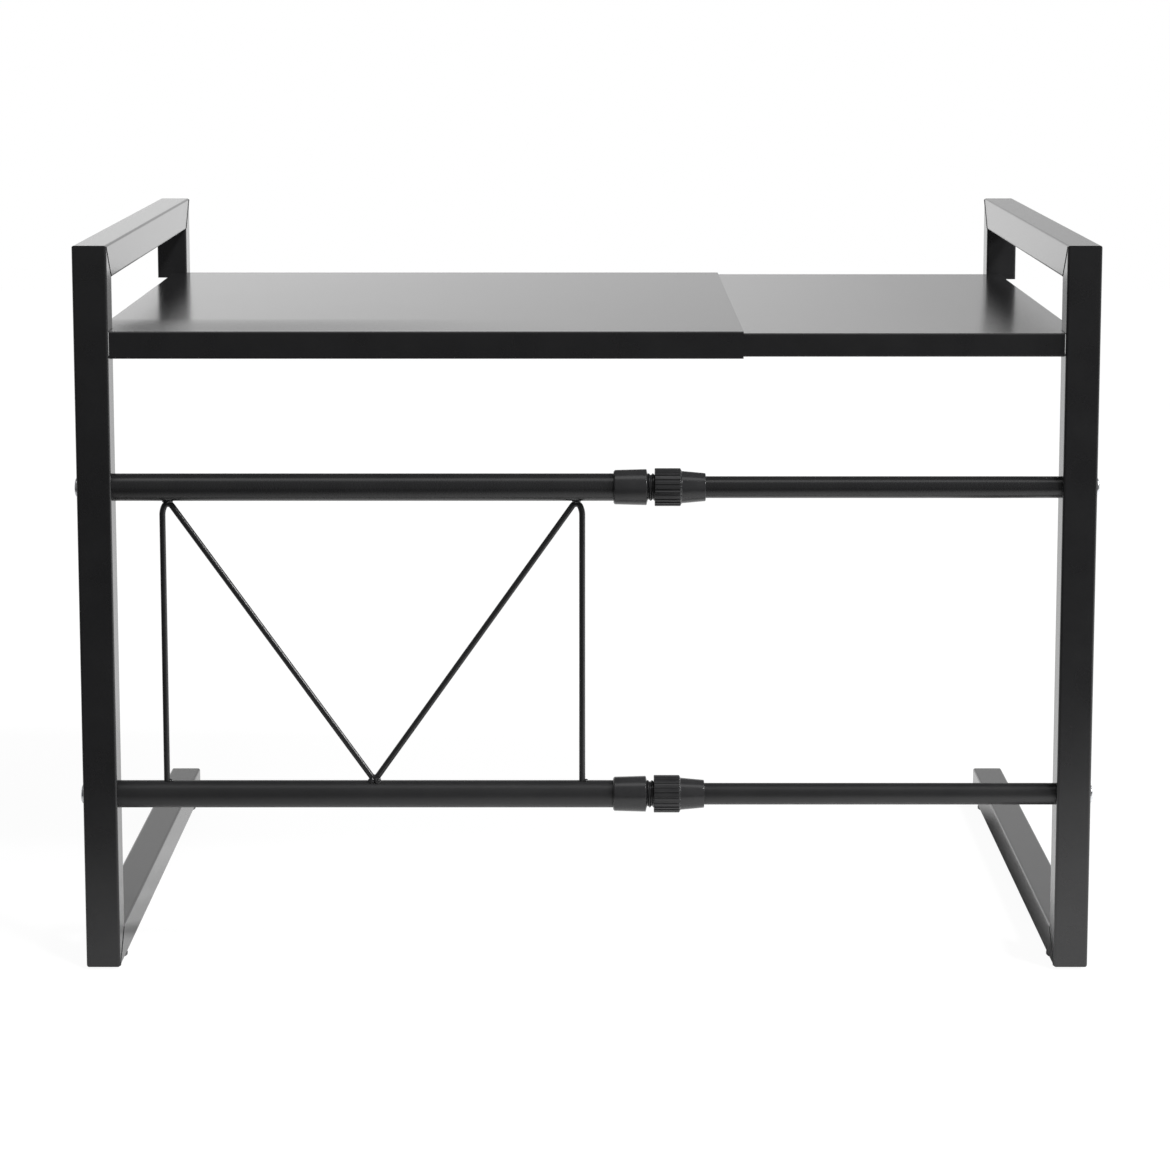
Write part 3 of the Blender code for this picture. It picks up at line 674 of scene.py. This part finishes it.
def wire_route():
    """Centreline of the wire as (x, z) points, and the x of its left peak, right peak and valley."""
    low_box, high_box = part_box("wire_brace")
    left = low_box.x + WIRE_RADIUS
    span = high_box.x - WIRE_RADIUS - left
    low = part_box("lower_outer_tube")[1].z
    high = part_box("upper_outer_tube")[0].z - WIRE_RADIUS
    reach = WIRE_LEG_BEND - WIRE_BEND
    peak = (WIRE_LEG_BEND - reach * math.cos(WIRE_LEG_TURN), high - WIRE_BEND)
    shoulder = (WIRE_LEG_BEND, peak[1] - reach * math.sin(WIRE_LEG_TURN))
    valley = (span / 2, low + WIRE_RADIUS + WIRE_BEND)
    across = math.hypot(valley[0] - peak[0], valley[1] - peak[1])
    fall = math.atan2(peak[1] - valley[1], valley[0] - peak[0])
    lean = math.asin(2 * WIRE_BEND / across)
    normal = math.pi / 2 - fall - lean
    leg = arc(shoulder, WIRE_LEG_BEND, WIRE_LEG_STEPS, math.pi, math.pi - WIRE_LEG_TURN)
    top = arc(peak, WIRE_BEND, WIRE_PEAK_STEPS, math.pi - WIRE_LEG_TURN, normal)
    bottom = arc(valley, WIRE_BEND, WIRE_VALLEY_STEPS, normal + math.pi, 3 * math.pi / 2)
    half = [(0.0, low - WIRE_SINK)] + leg + top[1:] + bottom
    route = half + [(span - x, z) for x, z in reversed(half[:-1])]
    return [(left + x, z) for x, z in route], left + peak[0], left + span - peak[0], left + span / 2


def wire_brace():
    """Round wire swept along its route, with welds where it meets the tubes."""
    route, left_peak, right_peak, valley = wire_route()
    y = axis_of("upper_outer_tube")[0]
    sideways = Vector((0.0, 1.0, 0.0))
    turns = [2 * math.pi * k / WIRE_SIDES for k in range(WIRE_SIDES)]
    rings = []
    for i, (x, z) in enumerate(route):
        before = route[max(i - 1, 0)]
        after = route[min(i + 1, len(route) - 1)]
        along = Vector((after[0] - before[0], 0.0, after[1] - before[1])).normalized()
        across = Vector((along.z, 0.0, -along.x))
        centre = Vector((x, y, z))
        spokes = [across * math.cos(a) + sideways * math.sin(a) for a in turns]
        rings.append([centre + WIRE_RADIUS * spoke for spoke in spokes])
    wire = piece("wire_brace_fine", skin(rings), WIRE_PAINT, "left_side")
    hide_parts("wire_brace")

    for (name, (offset, half)), x in zip(PEAK_WELDS.items(), (left_peak, right_peak)):
        weld_bead(name, "upper_outer_tube", x, -1, offset, half)
    for name, (offset, half) in VALLEY_WELDS.items():
        weld_bead(name, "lower_outer_tube", valley, 1, offset, half)
    for label, (x, _) in (("left", route[0]), ("right", route[-1])):
        weld_bead(label + "_foot_weld", "lower_outer_tube", x, 1, *FOOT_WELD)


def weld_bead(name, tube, x, up, offset, half):
    """Painted lump of weld at a tube: an uneven ball that ends inside the tube's wall.

    Up is 1 for a weld above the tube and -1 for one below it.
    """
    low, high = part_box(tube)
    y, z = axis_of(tube)
    inmost = (high.z - low.z) / 2 - WELD_DEPTH
    centre = Vector((x, y, high.z if up > 0 else low.z)) + Vector(offset)
    bm = bmesh.new()
    bmesh.ops.create_icosphere(bm, subdivisions=WELD_DETAIL, radius=1.0)
    for vert in bm.verts:
        reach = Vector(vert.co[k] * half[k] for k in range(3))
        swell = 1.0
        for size, scale in (WELD_LUMPS, WELD_RIPPLES):
            swell += size * noise.noise((centre + reach) * scale)
        vert.co = centre + reach * swell
        from_axis = Vector((0.0, vert.co.y - y, vert.co.z - z))
        if from_axis.length < inmost:
            vert.co += from_axis.normalized() * (inmost - from_axis.length)
    piece(name, bm, WELD_PAINT, "left_side")


def mitre_seams():
    """Weld in each mitre, ground off outside.

    On the shelf's side it stands proud and shows as a thin dark line.
    """
    for label, side in SIDES:
        rail_low, rail_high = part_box(label + "_top_rail")
        half = (rail_high.z - rail_low.z) / 2
        back_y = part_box(label + "_back_post")[0].y + half
        front_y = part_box(label + "_front_post")[1].y - half
        foot_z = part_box(label + "_foot_rail")[0].z + half
        top_z = rail_high.z - half
        middle = (rail_low.x + rail_high.x) / 2 - side * (SEAM_RISE + SEAM_RECESS) / 2
        widen = (half + (SEAM_RISE - SEAM_RECESS) / 2) / (half - SEAM_RECESS)
        outline = rounded_square(half - SEAM_RECESS, TUBE_CORNER - SEAM_RECESS)
        for name, y, z, slope in (
            ("top_back", back_y, top_z, -1),
            ("top_front", front_y, top_z, 1),
            ("foot_back", back_y, foot_z, 1),
        ):
            rings = []
            for lift in (-SEAM_HALF, SEAM_HALF):
                rings.append([(middle + u * widen, y + v, z + slope * v + lift) for u, v in outline])
            piece(f"{label}_{name}_seam", skin(rings), WELD_PAINT, label + "_side")


def cross_cutter(at, out, slot, reach, depth):
    """Closed plus-shaped wedge, narrower at its floor. Out is its direction, along X or Z."""
    first = Vector((0.0, 1.0, 0.0))
    second = out.cross(first)
    edge = slot / 2
    arm = [(edge, edge), (edge, reach), (-edge, reach)]
    plus = []
    for _ in range(4):
        plus += arm
        arm = [(-v, u) for u, v in arm]
    rings = []
    for height, scale in ((-depth, RECESS_FLOOR_SCALE), (depth, RECESS_MOUTH_SCALE)):
        rings.append([at + out * height + (first * u + second * v) * scale for u, v in plus])
    bm = skin(rings)
    bmesh.ops.recalc_face_normals(bm, faces=bm.faces)
    return mesh_object("recess", bm)


def cut_away(item, cutter):
    """Takes the cutter's shape out of an object's mesh for good."""
    cut = item.modifiers.new("recess", "BOOLEAN")
    cut.operation = "DIFFERENCE"
    cut.solver = "EXACT"
    cut.object = cutter
    bpy.context.view_layer.update()
    evaluated = item.evaluated_get(bpy.context.evaluated_depsgraph_get())
    finished = bpy.data.meshes.new_from_object(evaluated)
    item.modifiers.clear()
    item.data = finished
    bpy.data.objects.remove(cutter)


def pan_screw(node, body, out, seat, shaft_radius):
    """Pan-head screw with a domed crown and a cross recess. Out is the way its head points."""
    low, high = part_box(node)
    middle = (low + high) / 2
    if out.x:
        sign, width, ends = out.x, high.z - low.z, (low.x, high.x)
    else:
        sign, width, ends = out.z, high.x - low.x, (low.z, high.z)
    tip, crown = ends if sign > 0 else reversed(ends)
    head_radius = width / 2
    head_height = abs(crown - seat)
    shaft_length = abs(seat - tip)
    rim = RIM_SHARE * head_height
    profile = rounded([
        (-shaft_length, TIP_RADIUS_SHARE * shaft_radius, 0),
        (-shaft_length + TIP_LENGTH_SHARE * shaft_radius, shaft_radius, 0),
        (0.0, shaft_radius, 0),
        (0.0, head_radius, HEAD_FILLET),
        (rim, head_radius, 0),
    ])
    for i in range(1, CROWN_STEPS):
        a = math.pi / 2 * i / CROWN_STEPS
        share = CROWN_EYE_SHARE + (1 - CROWN_EYE_SHARE) * math.cos(a)
        profile.append((rim + (head_height - rim) * math.sin(a), head_radius * share))
    profile.append((head_height, CROWN_FLAT_SHARE * head_radius))
    if out.x:
        rings = [ring_along_x(seat + sign * t, r, middle.y, middle.z, SMALL_STEPS) for t, r in profile]
        top = Vector((seat + sign * head_height, middle.y, middle.z))
    else:
        rings = [ring_along_z(seat + sign * t, r, middle.x, middle.y, SMALL_STEPS) for t, r in profile]
        top = Vector((middle.x, middle.y, seat + sign * head_height))
    screw = piece(node + "_fine", skin(rings), ZINC, body)
    slot = RECESS_SLOT_SHARE * head_radius
    reach = RECESS_REACH_SHARE * head_radius
    cut_away(screw, cross_cutter(top, out, slot, reach, RECESS_DEPTH_SHARE * head_height))
    shade(screw)
    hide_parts(node)


def screws():
    """Rod screws outside the posts and panel screws under the shelf's ends."""
    for label, side in SIDES:
        body = label + "_side"
        post_low, post_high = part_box(label + "_back_post")
        face = post_high.x if side > 0 else post_low.x
        for level in LEVELS:
            node = f"{label}_{level}_rod_screw"
            pan_screw(node, body, Vector((side, 0.0, 0.0)), face, ROD_SCREW_SHAFT)
        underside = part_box(label + "_shelf_panel")[0].z
        for end in ENDS:
            node = f"{label}_{end}_panel_screw"
            pan_screw(node, body, Vector((0.0, 0.0, -1.0)), underside, PANEL_SCREW_SHAFT)


def foot_caps():
    """Moulded caps in the feet's open ends, with a crowned face."""
    for label, _ in SIDES:
        node = label + "_foot_cap"
        low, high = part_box(node)
        x = (low.x + high.x) / 2
        z = (low.z + high.z) / 2
        half = (high.x - low.x) / 2
        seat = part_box(label + "_foot_rail")[1].y
        rise = high.y - seat
        plug_half = half - CAP_PLAY
        outlines = [
            (low.y, rounded_square(plug_half - CAP_LEAD, CAP_PLUG_CORNER)),
            (low.y + CAP_LEAD_LENGTH, rounded_square(plug_half, CAP_PLUG_CORNER)),
            (seat, rounded_square(plug_half, CAP_PLUG_CORNER)),
            (seat, rounded_square(half, TUBE_CORNER)),
        ]
        for i in range(1, CAP_EDGE_STEPS + 1):
            a = math.pi / 2 * i / CAP_EDGE_STEPS
            inset = CAP_EDGE * (1 - math.cos(a))
            y = seat + rise * (CAP_RIM_SHARE + CAP_ROUND_SHARE * math.sin(a))
            outlines.append((y, rounded_square(half - inset, TUBE_CORNER)))
        face = rounded_square(half - CAP_EDGE, TUBE_CORNER)
        for share, lift in CAP_CROWN_SHARES:
            outlines.append((seat + rise * lift, [(u * share, v * share) for u, v in face]))
        rings = [[(x + u, y, z + v) for u, v in outline] for y, outline in outlines]
        cap = piece(node + "_fine", skin(rings), PLASTIC, label + "_side")
        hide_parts(node)


def glides():
    """Turned plastic glides with a rounded foot."""
    for label, _ in SIDES:
        for end in ENDS:
            node = f"{label}_{end}_glide"
            low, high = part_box(node)
            x = (low.x + high.x) / 2
            y = (low.y + high.y) / 2
            radius = (high.x - low.x) / 2
            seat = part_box(label + "_foot_rail")[0].z
            inner, outer = GLIDE_SOLE_SHARES
            profile = [(low.z, radius * inner)] + rounded([
                (low.z, radius * outer, 0),
                (low.z, radius - GLIDE_BEVEL, GLIDE_SOLE_FILLET),
                (low.z + GLIDE_BEVEL_HEIGHT, radius, GLIDE_SIDE_FILLET),
                (seat, radius, GLIDE_TOP_FILLET),
                (seat, GLIDE_STEM, 0),
                (high.z, GLIDE_STEM, 0),
            ])
            bm = skin([ring_along_z(height, r, x, y, SMALL_STEPS) for height, r in profile])
            glide = piece(node + "_fine", bm, PLASTIC, label + "_side")
            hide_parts(node)


def studio_floor():
    """White floor with the object's faint shadow. Gloss sees it dark near the camera, and glowing white
    with painted light behind.
    """
    bm = bmesh.new()
    bmesh.ops.create_grid(bm, x_segments=1, y_segments=1, size=FLOOR_SIZE)
    floor = mesh_object("floor", bm)
    material = bpy.data.materials.new("pale_floor")
    material.use_nodes = True
    tree = material.node_tree
    tree.nodes.clear()
    path = tree.nodes.new("ShaderNodeLightPath")
    clear = clear_rays(tree, path)
    x, y, _ = coordinates(tree, "Object")
    edge = combine(tree, "ADD", y, combine(tree, "MULTIPLY", x, FLOOR_SKEW))
    near = ramp(tree, edge, *FLOOR_EDGE, 0.0, 1.0)
    matte = tree.nodes.new("ShaderNodeBsdfDiffuse")
    pale = mix_colours(tree, combine(tree, "MAXIMUM", clear, near), (FLOOR_DARK,) * 3, (FLOOR_PALE,) * 3)
    tree.links.new(pale, matte.inputs["Color"])
    # Painted light: gloss sees the floor glow white under and past the shelf, as if lamps lit it there,
    # except beside the right foot
    not_beside = ramp(tree, x, *FLOOR_BESIDE, 1.0, 0.0)
    under = combine(tree, "MULTIPLY", ramp(tree, y, *FLOOR_UNDER, 0.0, 1.0), not_beside)
    past = ramp(tree, y, *FLOOR_BEHIND, 0.0, 1.0)
    painted_glow = combine(tree, "MULTIPLY", combine(tree, "MAXIMUM", under, past), FLOOR_PAINTED_GLOW_SHARE)
    painted_glow_gloss = combine(tree, "MULTIPLY", path.outputs["Is Glossy Ray"], painted_glow)
    white = combine(tree, "MAXIMUM", combine(tree, "MULTIPLY", clear, FLOOR_WHITE_SHARE), painted_glow_gloss)
    out = tree.nodes.new("ShaderNodeOutputMaterial")
    bright = glow(tree, "ShaderNodeEmission", FLOOR_WHITE)
    tree.links.new(mix_shaders(tree, white, matte.outputs["BSDF"], bright), out.inputs["Surface"])
    floor.data.materials.append(material)


def studio_world():
    """White to the camera.

    Gloss sees a dim room, with a white backdrop behind the shelf that is brighter on the left.
    """
    world = bpy.data.worlds.new("studio")
    bpy.context.scene.world = world
    world.use_nodes = True
    tree = world.node_tree
    tree.nodes.clear()
    path = tree.nodes.new("ShaderNodeLightPath")
    x, y, z = coordinates(tree, "Generated")
    across = ramp(tree, x, *BACKDROP_ACROSS, BACKDROP_LEFT, BACKDROP_RIGHT)
    upper = mix_values(tree, ramp(tree, z, *BACKDROP_RISE, 0.0, 1.0), across, BACKDROP_HIGH)
    level = mix_values(tree, ramp(tree, z, *BACKDROP_FOOT, 0.0, 1.0), HORIZON, upper)
    behind = ramp(tree, y, *BACKDROP_SIDE, 0.0, 1.0)
    shown = combine(tree, "MULTIPLY", behind, ramp(tree, z, *BACKDROP_TOP, 1.0, 0.0))
    light = combine(tree, "MAXIMUM", combine(tree, "MULTIPLY", level, shown), ROOM)
    room = glow(tree, "ShaderNodeBackground", light)
    white = glow(tree, "ShaderNodeBackground", 1.0)
    out = tree.nodes.new("ShaderNodeOutputWorld")
    tree.links.new(mix_shaders(tree, clear_rays(tree, path), room, white), out.inputs["Surface"])


def key_light():
    """Soft sun from the camera's right, which lays the object's shadow on the floor that gloss sees."""
    lamp = bpy.data.lights.new("key", "SUN")
    lamp.energy = KEY_STRENGTH
    lamp.angle = KEY_ANGLE
    light = bpy.data.objects.new("key", lamp)
    bpy.context.scene.collection.objects.link(light)
    light.rotation_euler = Vector(KEY_FROM).to_track_quat("Z", "Y").to_euler()
    light.visible_glossy = False


def softbox(name, place, target, size, watts):
    """Area lamp that the camera doesn't see, aimed at a point."""
    lamp = bpy.data.lights.new(name, "AREA")
    lamp.shape = "RECTANGLE"
    lamp.size, lamp.size_y = size
    lamp.energy = watts
    light = bpy.data.objects.new(name, lamp)
    bpy.context.scene.collection.objects.link(light)
    light.location = place
    light.rotation_euler = (Vector(target) - Vector(place)).to_track_quat("-Z", "Y").to_euler()
    light.visible_camera = False


def studio():
    """Floor, world and lamps."""
    studio_floor()
    studio_world()
    key_light()
    for name, setting in SOFTBOXES.items():
        softbox(name, *setting)


def camera():
    """Camera at the photograph's place, looking along +Y and slightly down."""
    data = bpy.data.cameras.new("camera")
    data.lens = CAMERA_LENS
    data.sensor_width = CAMERA_SENSOR
    data.shift_y = CAMERA_SHIFT
    item = bpy.data.objects.new("camera", data)
    bpy.context.scene.collection.objects.link(item)
    x, distance, height = CAMERA_PLACE
    item.location = (x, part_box("left_back_post")[0].y - distance, height)
    item.rotation_euler = (math.pi / 2 - CAMERA_PITCH, 0.0, 0.0)
    bpy.context.scene.camera = item


camera()
dress_cad_nodes()
rod_tubes()
collet_sleeves()
lock_nuts()
wire_brace()
mitre_seams()
screws()
foot_caps()
glides()
studio()
bpy.context.scene.view_settings.view_transform = "Standard"
